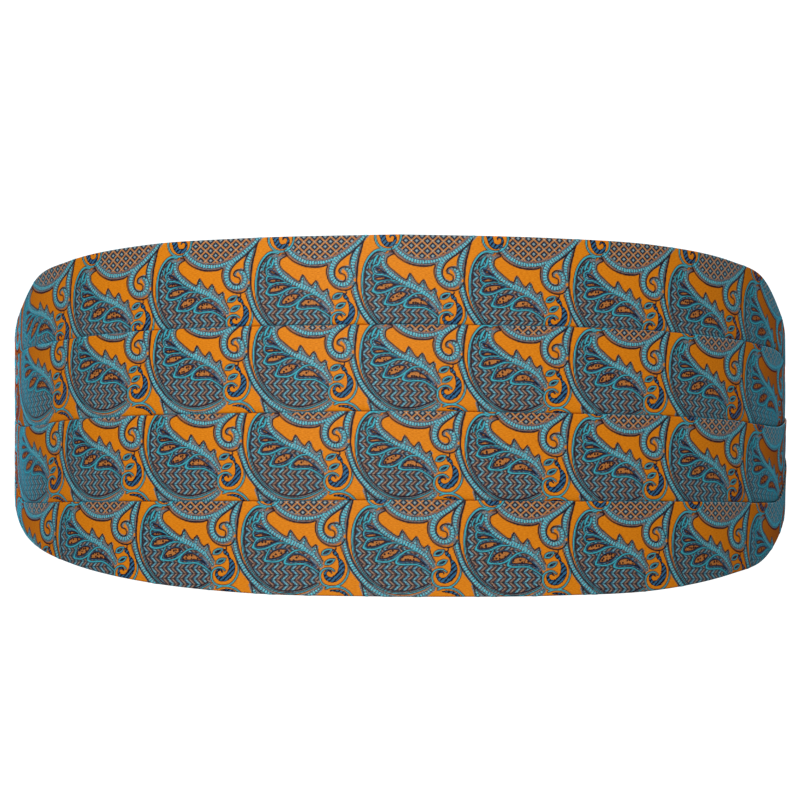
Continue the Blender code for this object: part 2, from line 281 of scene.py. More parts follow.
# A smooth line through its points: Catmull-Rom, each span a cubic whose ends lean along the
# chord between the neighbours.
def smoothLine(points, closed=False, perSpan=7):
    points = np.array(points, dtype=float)
    if closed:
        padded = np.concatenate((points[-1:], points, points[:2]))
    else:
        padded = np.concatenate((2 * points[:1] - points[1:2], points, 2 * points[-1:] - points[-2:-1]))
    before, start, end, after = padded[:-3], padded[1:-2], padded[2:-1], padded[3:]
    u = (np.arange(perSpan) / perSpan)[None, :, None]
    before, start, end, after = (part[:, None, :] for part in (before, start, end, after))
    line = 0.5 * (2 * start + (end - before) * u + (2 * before - 5 * start + 4 * end - after) * u ** 2
                  + (3 * start - before - 3 * end + after) * u ** 3)
    last = points[:1] if closed else points[-1:]
    return np.concatenate((line.reshape(-1, points.shape[1]), last))


# The repeat as a canvas of cells, in metres.
chartScale = chart["repeat"] / chart["squares"]
canvasAcross = np.arange(0, chart["repeat"] - chart["cell"] / 2, chart["cell"])
canvasDown = np.arange(chart["top"] * chartScale, chart["bottom"] * chartScale, chart["cell"])


# A field with nothing drawn in it yet: every cell is as far off as it can be.
def emptyField():
    return np.full((len(canvasDown), len(canvasAcross)), chart["reach"])


# The copies of a line in this repeat and its neighbours, each with the window of cells that
# it can reach and the cells' places down and across, as columns of numbers.
def reachedCells(line):
    for shift in range(-2, 3):
        moved = line + shift * chart["repeat"] * np.eye(1, line.shape[1])
        low = moved[:, :2].min(axis=0) - chart["reach"]
        high = moved[:, :2].max(axis=0) + chart["reach"]
        columns = np.flatnonzero((canvasAcross >= low[0]) & (canvasAcross <= high[0]))
        rows = np.flatnonzero((canvasDown >= low[1]) & (canvasDown <= high[1]))
        if len(columns) and len(rows):
            window = slice(rows[0], rows[-1] + 1), slice(columns[0], columns[-1] + 1)
            down, across = np.meshgrid(canvasDown[window[0]], canvasAcross[window[1]], indexing="ij")
            yield moved, window, down.reshape(-1, 1), across.reshape(-1, 1)


# Distance to a chain of segments: each cell's foot on a segment is held between its ends.
def segmentDistances(line, down, across):
    start, step = line[:-1, :2], np.diff(line[:, :2], axis=0)
    size = np.maximum(np.einsum("ij,ij->i", step, step), 1e-16)
    dx, dy = across - start[:, 0], down - start[:, 1]
    foot = np.clip((dx * step[:, 0] + dy * step[:, 1]) / size, 0, 1)
    return np.hypot(dx - foot * step[:, 0], dy - foot * step[:, 1]), foot, np.sqrt(size)


# Distance from every cell to the nearest stroke, less the stroke's half width there, so it
# is negative inside. The second result is the length along the nearest stroke.
def strokeField(strokes):
    field = emptyField()
    along = np.zeros_like(field)
    for stroke in strokes:
        for line, window, down, across in reachedCells(smoothLine(stroke) * chartScale):
            distance, foot, sizes = segmentDistances(line, down, across)
            distance -= line[:-1, 2] + foot * np.diff(line[:, 2])
            nearest = distance.argmin(axis=1)
            pick = np.arange(len(nearest)), nearest
            starts = np.concatenate(([0.0], np.cumsum(sizes)[:-1]))
            best = distance[pick].reshape(field[window].shape)
            length = (starts[nearest] + foot[pick] * sizes[nearest]).reshape(best.shape)
            along[window] = np.where(best < field[window], length, along[window])
            field[window] = np.minimum(best, field[window])
    return field, along


# Signed distance to closed shapes: a cell is inside where a ray from it crosses the line an
# odd number of times.
def shapeField(shapes, perSpan=7):
    field = emptyField()
    for shape in shapes:
        outline = smoothLine(shape, closed=True, perSpan=perSpan) * chartScale
        for line, window, down, across in reachedCells(outline):
            distance = segmentDistances(line, down, across)[0].min(axis=1)
            x0, y0, x1, y1 = line[:-1, 0], line[:-1, 1], line[1:, 0], line[1:, 1]
            rise = np.where(y1 == y0, 1e-12, y1 - y0)
            crossed = ((y0 > down) != (y1 > down)) & (across < x0 + (down - y0) * (x1 - x0) / rise)
            signed = np.where(crossed.sum(axis=1) % 2 == 1, -distance, distance)
            field[window] = np.minimum(field[window], signed.reshape(field[window].shape))
    return field


# Signed distance to discs, each as (across, down, radius): the distance to its middle less
# its radius.
def discField(discs):
    field = emptyField()
    down, across = np.meshgrid(canvasDown, canvasAcross, indexing="ij")
    for x, y, radius in discs:
        for shift in range(-2, 3):
            distance = np.hypot(across - x * chartScale - shift * chart["repeat"], down - y * chartScale)
            field = np.minimum(field, distance - radius * chartScale)
    return field


# Lines are kept as how much of the cloth around a cell they cover, so that thin ones stay
# whole, and everything else as a distance.
def coverage(field):
    return np.clip(0.5 - field / chart["lineBlend"], 0, 1)


# All the figures of the repeat as fields over it, by name. The rosette's rim is a ring of
# points, the petals' dark rim a line at a set depth inside them, the border what lies
# between the zones' outlines and beside the bands, and the casing widens the teal lines.
def drawRepeat():
    band, rib = strokeField(ribbedBands)
    x, y = chart["rosette"]
    radius = chart["rosetteRadius"]
    rosette = [(x + radius * math.cos(turn), y + radius * math.sin(turn), chart["rosetteRim"])
               for turn in np.linspace(0, 2 * math.pi, 25)]
    fields = {"band": band, "rib": rib}
    for name, strokes in (("teal", tealLines + (rosette,)), ("dark", darkLines), ("rust", rustLines),
                          ("navy", navyStrokes)):
        fields[name] = strokeField(strokes)[0]
    for name, shapes in (("petal", petalShapes), ("body", bodyShapes), ("dome", domeShapes)):
        fields[name] = shapeField(shapes)
    for name in ("body", "dome"):
        fields[name] = np.maximum(fields[name], -discField(ringDiscs))
    petalRim = (np.abs(fields["petal"] + chart["petalRimDepth"] * chartScale)
                - chart["petalRimHalf"] * chartScale)
    fields["dark"] = np.minimum(fields["dark"], petalRim)
    zones = np.minimum(shapeField((spikedZone, rimZone, lowZone), 1), strokeField(fillerStrokes)[0])
    fields["border"] = np.minimum(fields["band"] - chart["borderWidth"], zones)
    fields["casing"] = coverage(fields["teal"] - chart["casingWidth"])
    for name, widened in chart["widened"].items():
        fields[name] = coverage(fields[name] - widened)
    return fields


repeatFields = drawRepeat()
print("woven repeat charted:", len(repeatFields), "fields of", repeatFields["band"].shape)


# A field read at any place: bilinear between cells, wrapping across and held at top and
# bottom.
def readField(name, across, down):
    field = repeatFields[name]
    rows, columns = field.shape
    x = np.mod(across, chart["repeat"]) / chart["cell"]
    y = np.clip((down - canvasDown[0]) / chart["cell"], 0, rows - 1.001)
    column, row = np.floor(x).astype(int), np.floor(y).astype(int)
    fx, fy = x - column, y - row
    column, after = column % columns, (column + 1) % columns
    upper = field[row, column] * (1 - fx) + field[row, after] * fx
    lower = field[row + 1, column] * (1 - fx) + field[row + 1, after] * fx
    return upper * (1 - fy) + lower * fy


# The cloth. Each pleat is a closed thin wall: up behind its fold, over the fold, down the
# face, in behind the next pleat and round the bottom turn. "start" and "pitch" place the
# repeats along a pleat and "spread" draws them wider towards its ends, "drop" and "slope"
# say how far the spikes lie below its fold, and "fade" raises them at the first pleat's
# ends. "flare" opens the lower pleats outwards at their right ends.
cloth = {
    "thickness": 0.45 * mm,
    "layerPitch": 0.55 * mm,
    "foldDepth": 10 * mm, "foldLimit": 0.45,
    "dipHeight": 3.0 * mm, "dipLimit": 0.20,
    "hemDepth": 12 * mm, "hemLimit": 0.30,
    "columns": 901, "coarse": 4, "evenShare": 0.9,
    "faceRows": 72, "dipRows": 14, "turnRows": 5, "hiddenRows": 4,
    "innerStep": 7,
    "relief": 0.05 * mm, "reliefBlend": 0.15 * mm,
    "flare": 0.8 * mm, "flareDepth": 7 * mm, "flareFrom": 165 * mm, "flareLength": 40 * mm,
    "start": (3.7 * mm, 3.2 * mm, 1.8 * mm, 0.8 * mm),
    "pitch": (40.1 * mm, 40.4 * mm, 40.9 * mm, 41.8 * mm),
    "drop": (14.2 * mm, 8.0 * mm, 8.95 * mm, 11.15 * mm),
    "slope": (0.0, 0.020, 0.018, 0.011),
    "spreadLeft": 7.2e-5 / mm, "spreadRight": (3.0e-5 / mm, 4.8e-5 / mm, 5.5e-5 / mm, 5.5e-5 / mm),
    "fadeAt": (-190 * mm, -156 * mm, -117 * mm, 0.0, 88 * mm, 125 * mm, 155 * mm, 190 * mm),
    "fade": (-8 * mm, -3.3 * mm, 0.1 * mm, 0.0, 0.7 * mm, 0.5 * mm, -1.1 * mm, -5 * mm),
}


# Half circle of a fold, as arrays of outward place and height: the angle runs from start to
# end round a centre, at a fixed radius.
def turnArrays(outward, height, start, end):
    angles = np.radians(np.linspace(start, end, cloth["turnRows"]))
    radius = cloth["layerPitch"] / 2
    return (outward + radius * np.cos(angles)[None, :] + 0 * height[:, None],
            height[:, None] + radius * np.sin(angles)[None, :])


# Straight stretch between two heights, its own ends left out.
def straightArrays(outward, first, last, count):
    share = np.linspace(0, 1, count + 2)[None, 1:-1]
    return outward + 0 * first[:, None] * share, first[:, None] * (1 - share) + last[:, None] * share


# Middle line of one pleat for all columns at once, the row of its fold's top and the row
# at which what shows of it ends.
def pleatProfile(pleat, levels):
    pitch = cloth["layerPitch"]
    faceAt = -cloth["thickness"] / 2
    backAt, underAt = faceAt - pitch, faceAt - 2 * pitch
    inset = cloth["thickness"] / 2 + pitch / 2
    heights = [levels[i] - levels[i + 1] for i in range(4)]
    depths = [np.minimum(cloth["foldDepth"], cloth["foldLimit"] * height) for height in heights]
    top, below = levels[pleat], levels[pleat + 1]
    behind = depths[pleat] * 0.5
    if pleat == 0:
        behind = np.minimum(cloth["hemDepth"], cloth["hemLimit"] * heights[0])
    parts = [straightArrays(backAt, top - behind, top - inset, cloth["hiddenRows"]),
             turnArrays((faceAt + backAt) / 2, top - inset, 180, 0)]
    apex = cloth["hiddenRows"] + cloth["turnRows"] // 2
    shownEnd = cloth["hiddenRows"] + cloth["turnRows"] + cloth["faceRows"] + cloth["dipRows"]
    if pleat == 3:
        hem = np.minimum(cloth["hemDepth"], cloth["hemLimit"] * heights[3])
        parts.append(straightArrays(faceAt, top - inset, below + inset,
                                    cloth["faceRows"] + cloth["dipRows"] - cloth["turnRows"]))
        parts.append(turnArrays((faceAt + backAt) / 2, below + inset, 0, -180))
        parts.append(straightArrays(backAt, below + inset, below + hem, cloth["hiddenRows"]))
    else:
        dip = np.minimum(cloth["dipHeight"], cloth["dipLimit"] * heights[pleat])
        depth = depths[pleat + 1]
        parts.append(straightArrays(faceAt, top - inset, below + dip, cloth["faceRows"]))
        share = np.linspace(0, 1, cloth["dipRows"])[None, :]
        sunk = 0.4 * share ** 2 + 0.6 * share ** 12
        parts.append((faceAt + sunk * (underAt - faceAt) + 0 * dip[:, None],
                      below[:, None] + dip[:, None] * (1 - share)))
        parts.append(straightArrays(underAt, below, below - depth + inset, cloth["hiddenRows"]))
        parts.append(turnArrays((backAt + underAt) / 2, below - depth + inset, 180, 360))
        parts.append(straightArrays(backAt, below - depth + inset, below - depth * 0.6,
                                    cloth["hiddenRows"]))
    return (np.concatenate([part[0] for part in parts], axis=1),
            np.concatenate([part[1] for part in parts], axis=1), apex, shownEnd)


# Mesh from groups of faces. A group is an array of vertex numbers with, for each corner,
# its column and its place round the ring as shares from 0 to 1. The bake map lays the
# columns out in bands, one above another; caps close the ends and lie in its right margin.
def meshFrom(name, vertices, groups, caps, bands, maps, values):
    loops = np.concatenate([group[0].ravel() for group in groups] + list(caps))
    sizes = np.concatenate([np.full(len(group[0]), group[0].shape[1]) for group in groups]
                           + [np.array([len(cap) for cap in caps], dtype=int)])
    starts = np.concatenate(([0], np.cumsum(sizes)[:-1]))
    mesh = bpy.data.meshes.new(name)
    mesh.vertices.add(len(vertices))
    mesh.vertices.foreach_set("co", vertices.astype(np.float32).ravel())
    mesh.loops.add(len(loops))
    mesh.loops.foreach_set("vertex_index", loops.astype(np.int32))
    mesh.polygons.add(len(starts))
    mesh.polygons.foreach_set("loop_start", starts.astype(np.int32))
    mesh.update(calc_edges=True)
    addMap(mesh, "OFBake", bakePlaces(vertices, groups, caps, bands))
    for mapName, places in maps.items():
        addMap(mesh, mapName, places[loops])
    for valueName, array in values.items():
        attribute = mesh.attributes.new(valueName, "FLOAT", "POINT")
        attribute.data.foreach_set("value", array.astype(np.float32).ravel())
    mesh.shade_smooth()
    mesh.set_sharp_from_angle(angle=math.radians(60))
    return mesh


# A UV map from a place for each corner of the mesh.
def addMap(mesh, name, places):
    layer = mesh.uv_layers.new(name=name)
    layer.data.foreach_set("uv", places.astype(np.float32).ravel())


# Bake map: columns run across each band and the ring up it, and a cap is laid out by its
# height and its distance from the loop's axis.
def bakePlaces(vertices, groups, caps, bands):
    places = []
    for _, column, ring in groups:
        band = np.minimum(np.floor(column.min(axis=1, keepdims=True) * bands + 1e-6), bands - 1)
        u = 0.004 + 0.972 * (column * bands - band)
        v = (band + 0.01 + 0.98 * ring) / bands
        places.append(np.stack((u, v), axis=-1).reshape(-1, 2))
    for index, cap in enumerate(caps):
        part = vertices[cap]
        height, outward = part[:, 2], np.hypot(part[:, 0], part[:, 1])
        u = 0.98 + 0.009 * (index + 0.9 * (outward - outward.min()) / np.ptp(outward))
        v = 0.02 + 0.96 * (height - height.min()) / np.ptp(height)
        places.append(np.stack((u, v), axis=-1))
    return np.concatenate(places)


# Quads of a grid: "numbers" holds the vertex number for each column and row.
def quadGroup(numbers, columnShare, ringShare):
    # The four corners of every cell, in turn round it.
    def corners(array):
        return np.stack((array[:-1, :-1], array[1:, :-1], array[1:, 1:], array[:-1, 1:]),
                        axis=-1).reshape(-1, 4)
    columnGrid = np.broadcast_to(columnShare[:, None], numbers.shape)
    ringGrid = np.broadcast_to(ringShare[None, :], numbers.shape)
    return corners(numbers), corners(columnGrid), corners(ringGrid)


# The strip between a fine row and a coarse row, as faces with one long coarse edge.
def joiningGroup(fine, coarse, fineShare, coarseShare, fineRing, coarseRing, fineFirst):
    step = cloth["coarse"]
    count = len(coarse) - 1
    picks = np.arange(count)[:, None] * step + np.arange(step + 1)[None, :]
    pairs = np.arange(count)[:, None] + np.array([[0, 1]])
    numbers, shares = (fine[picks], coarse[pairs]), (fineShare[picks], coarseShare[pairs])
    rings = (np.full(picks.shape, fineRing), np.full(pairs.shape, coarseRing))
    if fineFirst:
        return tuple(np.concatenate((a, b[:, ::-1]), axis=1) for a, b in (numbers, shares, rings))
    return tuple(np.concatenate((b, a[:, ::-1]), axis=1) for a, b in (numbers, shares, rings))


# A new object in the scene, at the origin and unturned.
def addObject(name, mesh, *materials):
    for material in materials:
        mesh.materials.append(material)
    obj = bpy.data.objects.new(name, mesh)
    bpy.context.scene.collection.objects.link(obj)
    return obj


# Rows kept on the inner side: all of the turns, and every few of the flat stretches.
def innerRows(count):
    hidden, turn = cloth["hiddenRows"], cloth["turnRows"]
    keep = list(range(hidden - 1, hidden + turn + 1))
    keep += list(range(hidden + turn + 1, count - hidden - turn, cloth["innerStep"]))
    keep += list(range(count - hidden - turn - 1, count - hidden + 1)) + [0, count - 1]
    return np.array(sorted(set(keep)))


# One pleat. The middle line is moved half a thickness to each side along its normal. What
# shows has every row and column, the rest has few of both.
def buildPleat(pleat, face, back):
    share = np.linspace(-1, 1, cloth["columns"])
    even = cloth["evenShare"]
    along = (even * share + (1 - even) * share ** 3) * waist["pleatedLength"] / 2
    outward, height, apex, shownEnd = pleatProfile(pleat, edgeHeights(along))
    if pleat >= 2:
        flare = cloth["flare"] * np.clip((along - cloth["flareFrom"]) / cloth["flareLength"], 0, 1) ** 2
        below = np.maximum(height[:, apex:apex + 1] - height, 0)
        outward = outward + flare[:, None] * np.exp(-below / cloth["flareDepth"])
    rowCount = outward.shape[1]
    tangentOut, tangentUp = np.gradient(outward, axis=1), np.gradient(height, axis=1)
    size = np.hypot(tangentOut, tangentUp)
    normalOut, normalUp = -tangentUp / size, tangentOut / size
    steps = np.hypot(np.diff(outward, axis=1), np.diff(height, axis=1))
    path = np.concatenate((np.zeros((len(along), 1)), np.cumsum(steps, axis=1)), axis=1)
    meanLength = float(path[:, -1].mean())
    path -= path[:, apex:apex + 1]
    drop = cloth["drop"][pleat] + cloth["slope"][pleat] * along
    if pleat == 0:
        drop = drop + np.interp(along, cloth["fadeAt"], cloth["fade"])
    spread = np.where(along < 0, cloth["spreadLeft"], cloth["spreadRight"][pleat])
    drawn = along - spread * along * np.abs(along)
    repeats = (drawn - cloth["start"][pleat]) / cloth["pitch"][pleat]
    across = (repeats * chart["repeat"] + chart["spike"][0] * chartScale)[:, None] + 0 * path
    down = path - drop[:, None] + chart["spike"][1] * chartScale
    half = cloth["thickness"] / 2

    # One side of the wall, at the columns and rows picked: the place half a thickness out
    # along the normal, the place in the weave, and the fields there.
    def side(columns, rows, sign):
        pick = np.ix_(columns, rows)
        fields = {name: readField(name, across[pick], down[pick]) for name in repeatFields}
        raised = 0.0
        if sign > 0:
            raised = np.clip(-fields["band"] / cloth["reliefBlend"], -1, 1) * cloth["relief"]
        x, y = onWaist(along[columns][:, None], outward[pick] + (sign * half + raised) * normalOut[pick])
        z = height[pick] + (sign * half + raised) * normalUp[pick]
        weave = np.stack((across[pick] / mm, down[pick] / mm), axis=-1)
        return np.stack((x, y, z), axis=-1), weave, fields

    first = cloth["hiddenRows"] + 1
    every, some = np.arange(len(along)), np.arange(0, len(along), cloth["coarse"])
    shown = side(every, np.arange(first, shownEnd), 1)
    hidden = [side(some, np.arange(shownEnd, rowCount), 1), side(some, innerRows(rowCount)[::-1], -1),
              side(some, np.arange(0, first), 1)]
    coarse = [np.concatenate([part[k] for part in hidden], axis=1) for k in (0, 1)]
    coarseFields = {name: np.concatenate([part[2][name] for part in hidden], axis=1)
                    for name in repeatFields}
    fineCount, coarseCount = shown[0].shape[1], coarse[0].shape[1]
    ringCount = fineCount + coarseCount
    fineNumbers = np.arange(len(every) * fineCount).reshape(len(every), fineCount)
    coarseNumbers = fineNumbers.size + np.arange(len(some) * coarseCount).reshape(len(some), coarseCount)
    fineShare, coarseShare = every / every[-1], some / every[-1]
    fineRing = np.arange(fineCount) / ringCount
    coarseRing = (fineCount + np.arange(coarseCount)) / ringCount
    groups = [quadGroup(fineNumbers, fineShare, fineRing),
              quadGroup(coarseNumbers, coarseShare, coarseRing),
              joiningGroup(fineNumbers[:, -1], coarseNumbers[:, 0], fineShare, coarseShare,
                           fineRing[-1], coarseRing[0], True),
              joiningGroup(fineNumbers[:, 0], coarseNumbers[:, -1], fineShare, coarseShare,
                           1.0, coarseRing[-1], False)]
    caps = [np.concatenate((fineNumbers[0], coarseNumbers[0])),
            np.concatenate((fineNumbers[-1], coarseNumbers[-1]))[::-1]]
    groups = [tuple(array[:, ::-1] for array in group) for group in groups]
    caps = [cap[::-1] for cap in caps]
    vertices = np.concatenate((shown[0].reshape(-1, 3), coarse[0].reshape(-1, 3)))
    weave = np.concatenate((shown[1].reshape(-1, 2), coarse[1].reshape(-1, 2)))
    values = {name: np.concatenate((shown[2][name].ravel(), coarseFields[name].ravel()))
              for name in repeatFields}
    name = "pleat%d" % (pleat + 1)
    mesh = meshFrom(name, vertices, groups, caps, 3, {"weave": weave}, values)
    outerCount, innerCount = hidden[0][0].shape[1], hidden[1][0].shape[1]
    ringPlace = np.tile(np.arange(coarseCount - 1), len(some) - 1)
    isInner = (ringPlace >= outerCount - 1) & (ringPlace < outerCount + innerCount)
    slots = np.concatenate((np.zeros(len(groups[0][0])), isInner,
                            np.zeros(2 * (len(some) - 1)), np.ones(2)))
    piece = addObject(name, mesh, face, back)
    mesh.polygons.foreach_set("material_index", slots.astype(np.int32))
    mesh.update()
    return piece, meanLength


# Fills a node's inputs, each by its place or its name, with a value or a link.
def fillInputs(tree, node, inputs):
    for key, value in (inputs.items() if isinstance(inputs, dict) else enumerate(inputs)):
        if isinstance(value, bpy.types.NodeSocket):
            tree.links.new(value, node.inputs[key])
        else:
            node.inputs[key].default_value = value


# Adds a node, sets its properties, fills its inputs and gives back one of its outputs.
def addNode(tree, kind, inputs=(), output=0, **properties):
    node = tree.nodes.new("ShaderNode" + kind)
    for name, value in properties.items():
        setattr(node, name, value)
    fillInputs(tree, node, inputs)
    return node.outputs[output]


# The rows of a pattern, worked out one after another. A row with an operation gives the
# result's name, the operation (the Math node's, or RANGE for a value turned from 0 to 1
# between two limits) and what it works on. Any other row lays one colour over another:
# result, colour below, colour above, the value that parts them, where the change starts
# and ends and, if not all of it shows, how much does.
def addPattern(tree, values, rows):
    for name, *parts in rows:
        parts = [values.get(part, part) if isinstance(part, str) else part for part in parts]
        if parts[0] == "RANGE":
            values[name] = addNode(tree, "MapRange", parts[1:])
        elif isinstance(parts[0], str):
            values[name] = addNode(tree, "Math", parts[1:], operation=parts[0])
        else:
            below, above, value, start, end, *most = parts
            share = addNode(tree, "MapRange", (value, start, end, 0.0, *most))
            values[name] = addNode(tree, "Mix", {0: share, 6: below, 7: above}, 2, data_type="RGBA")


# Rows for bands of colour along a value: each blends into the next within a short step.
def bandRows(name, value, blend, below, *stops):
    rows = []
    for at, above in stops:
        rows.append((name, below, above, value, at - blend, at + blend))
        below = name
    return rows


# An sRGB hex code as linear light: the standard curve, straight near black.
def linear(code):
    parts = [int(code[i:i + 2], 16) / 255 for i in (1, 3, 5)]
    return tuple(c / 12.92 if c <= 0.04045 else ((c + 0.055) / 1.055) ** 2.4 for c in parts) + (1.0,)


# A new material with its tree and its shader, whose inputs take the constants given.
def newMaterial(name, inputs):
    material = bpy.data.materials.new(name)
    material.use_nodes = True
    shader = material.node_tree.nodes["Principled BSDF"]
    fillInputs(material.node_tree, shader, inputs)
    return material, material.node_tree, shader


# Jacquard silk: a bright orange satin ground in which weft threads of teal, navy, rust and
# pale blue are woven to a leaf pattern. Silk gives soft broad highlights and a bluish sheen
# where it is seen edge on. Sizes with mm are on the fields, which are in metres; the others
# are millimetres on the cloth, or noise cells a millimetre. Real threads would be too fine
# to show, so they are drawn some three times as coarse.
silk = {
    "colours": {
        "orange": "#E08718", "amber": "#C87009", "teal": "#3EC4D2", "tealDark": "#124E66",
        "tealDull": "#3E96A8", "paintedGlint": "#62E0EC", "cyan": "#7ABCC6", "blue": "#3A6C90",
        "pale": "#A8B4AC", "navy": "#0A1226", "ink": "#121218", "purple": "#66545A",
        "tan": "#A88264", "rust": "#7E4632", "grey": "#64788A", "straw": "#CC863E",
        "copper": "#C47C3C", "brown": "#38201E", "slate": "#2C6288", "shade": "#2C2A2E",
        "mauve": "#A28672", "redSheen": "#B03010", "blueSheen": "#48D8FF",
    },
    # Noises: cells across and down the cloth, and detail.
    "noises": {"threads": (0.9, 4.5, 2.0), "knots": (1.3, 1.6, 1.0), "specks": (3.0, 3.8, 1.0),
               "patches": (2.2, 2.6, 1.0), "picks": (2.0, 3.6, 1.0)},
    "dotCells": 0.95, "grainCells": 0.75, "backStreaks": (0.7, 4.0, 1.0),
    "lines": ("rib", "teal", "dark", "rust", "casing"),
    "shapes": ("band", "navy", "petal", "body", "dome", "border"),
    "fray": 0.8 * mm, "soft": 0.07 * mm, "petalRim": 0.4 * mm, "bead": 1.05 * mm,
    # The herringbone's rows and strokes, the lattice's meshes and the curl's slant.
    "rowStart": 28.15, "rowHeight": 1.99, "lean": 1.07, "repeatStart": 23.0,
    "strokeStart": 17.1, "strokePitch": 3.55, "meshWidth": 4.1, "meshHeight": 3.709,
    "slantCells": 0.55,
}


# Rows for what fills the figures. The body is a herringbone: strokes lean one way and then
# the other, row by row. The domes are a lattice: how near a place is to the middle between
# two lines, for lines slanted both ways. A band's beads are a sine of the length along it:
# teal yarn whose bright crests are a painted highlight of the ribs.
def fillingRows():
    rows = [
        ("turned", "SUBTRACT", "down", silk["rowStart"]),
        ("turned", "PINGPONG", "turned", silk["rowHeight"]),
        ("lean", "MULTIPLY", "turned", silk["lean"]),
        ("stripe", "SUBTRACT", "across", silk["repeatStart"]),
        ("stripe", "FLOORED_MODULO", "stripe", chart["repeat"] / mm),
        ("stripe", "SUBTRACT", "stripe", silk["strokeStart"]),
        ("stripe", "SUBTRACT", "stripe", "lean"),
        ("stripe", "DIVIDE", "stripe", silk["strokePitch"]),
        ("stripe", "MULTIPLY_ADD", "edge", 80.0, "stripe"), ("stripe", "FRACT", "stripe"),
    ]
    rows += bandRows("body", "stripe", 0.035, "shade", (0.15, "cyan"), (0.37, "purple"), (0.48, "shade"),
                     (0.61, "mauve"), (0.82, "shade"))
    rows += [
        ("knotted", "RANGE", "knots", 0.40, 0.62), ("share", "RANGE", "stripe", 0.43, 0.38, 0.0, 0.7),
        ("share", "MULTIPLY", "share", "knotted"), ("body", "body", "blue", "share", 0.0, 1.0),
        ("plain", "RANGE", "knots", 0.60, 0.40), ("share", "RANGE", "stripe", 0.55, 0.60, 0.0, 0.45),
        ("share", "MULTIPLY", "share", "plain"), ("body", "body", "rust", "share", 0.0, 1.0),
        ("fromRow", "SUBTRACT", "turned", silk["rowHeight"] / 2), ("fromRow", "ABSOLUTE", "fromRow"),
        ("body", "body", "ink", "fromRow", 0.70, 0.92, 0.65),
        ("slantX", "DIVIDE", "across", silk["meshWidth"]), ("slantY", "DIVIDE", "down", silk["meshHeight"]),
    ]
    for name, operation, start in (("first", "ADD", 0.9), ("second", "SUBTRACT", 0.62)):
        rows += [(name, operation, "slantX", "slantY"), (name, "ADD", name, start), (name, "FRACT", name),
                 (name, "SUBTRACT", name, 0.5), (name, "ABSOLUTE", name)]
    rows += [("nearer", "MAXIMUM", "first", "second"), ("farther", "MINIMUM", "first", "second")]
    rows += bandRows("dome", "nearer", 0.03, "pale", (0.10, "grey"), (0.20, "ink"), (0.33, "purple"),
                     (0.41, "straw"))
    rows += [
        ("dome", "dome", "pale", "farther", 0.40, 0.45),
        ("beads", "MULTIPLY", "ribField", 2 * math.pi / silk["bead"]), ("beads", "SINE", "beads"),
        ("uneven", "MULTIPLY_ADD", "knots", 3.0, -1.5), ("beads", "ADD", "beads", "uneven"),
        # The beads' bright crests are a painted highlight, laid as colour over the teal yarn.
        ("band", "tealDark", "paintedGlint", "beads", -1.1, 1.3),
        ("band", "band", "tan", "specks", 0.54, 0.62, 0.8),
        ("band", "band", "slate", "specks", 0.47, 0.38, 0.8),
        ("thin", "tealDull", "teal", "specks", 0.43, 0.63),
        ("slant", "ADD", "across", "down"), ("slant", "MULTIPLY_ADD", "knots", 1.2, "slant"),
        ("slant", "MULTIPLY", "slant", silk["slantCells"]), ("slant", "FRACT", "slant"),
        ("curl", "navy", "slate", "slant", 0.35, 0.55),
        ("petal", "brown", "copper", "dots", 0.36, 0.50),
        ("outline", "navy", "brown", "knots", 0.44, 0.58),
    ]
    rows += bandRows("border", "patches", 0.03, "purple", (0.40, "grey"), (0.48, "tan"), (0.56, "tealDull"))
    # Single picks of weft and warp darken the figured cloth in short flecks.
    return rows + [(name, name, "ink", "picks", 0.58, 0.40, 0.45)
                   for name in ("body", "dome", "border", "petal")]


# Rows that lay the figures over the ground, one over another. A shape shows where its field
# is below a margin, a line as far as it covers the cloth.
def layerRows():
    # A layer that ends where the shape's field is at the margin, within a soft edge.
    def inside(field, margin, above):
        return "colour", "colour", above, field + "Edge", margin + silk["soft"], margin - silk["soft"]

    return [
        ("colour", "amber", "orange", "threads", 0.35, 0.65),
        inside("dome", 0.0, "dome"), inside("border", 0.0, "border"), inside("body", 0.0, "body"),
        inside("band", 0.45 * mm, "border"),
        ("colour", "colour", "rust", "rustField", 0.0, 1.0, 0.7),
        ("colour", "colour", "outline", "casingField", 0.12, 0.62, 0.9),
        inside("petal", 0.1 * mm, "slate"), inside("petal", -silk["petalRim"], "petal"),
        inside("navy", 0.06 * mm, "navy"), inside("navy", -0.22 * mm, "curl"),
        inside("band", 0.18 * mm, "outline"), inside("band", 0.0, "band"),
        ("colour", "colour", "thin", "tealField", 0.15, 0.75),
        ("colour", "colour", "outline", "darkField", 0.18, 0.72),
    ]


# Rows for the sheen: the weft floats of the figures have a strong blue one, the warp of the
# ground a weaker red one, and the dark lines and the petals lie on top of the floats.
def sheenRows():
    # How much of a shape shows at a place, from 0 outside it to its most inside.
    def shown(field, margin, most):
        return "share", "RANGE", field + "Edge", margin + silk["soft"], margin - silk["soft"], 0.0, most

    rows = [("floats", "MAXIMUM", "tealField", 0.0)]
    for field, most in (("band", 1.0), ("border", 0.6), ("body", 0.6), ("dome", 0.6)):
        rows += [shown(field, 0.0, most), ("floats", "MAXIMUM", "floats", "share")]
    return rows + [
        ("bare", "MULTIPLY", "darkField", 0.85), shown("petal", -silk["petalRim"], 1.0),
        ("bare", "MAXIMUM", "bare", "share"), ("bare", "SUBTRACT", 1.0, "bare"),
        ("floats", "MULTIPLY", "floats", "bare"), ("sheen", "MULTIPLY_ADD", "floats", 0.4, 0.6),
        ("tint", "redSheen", "blueSheen", "floats", 0.0, 0.5),
        ("relief", "MULTIPLY_ADD", "grain", 0.4, "threads"),
    ]


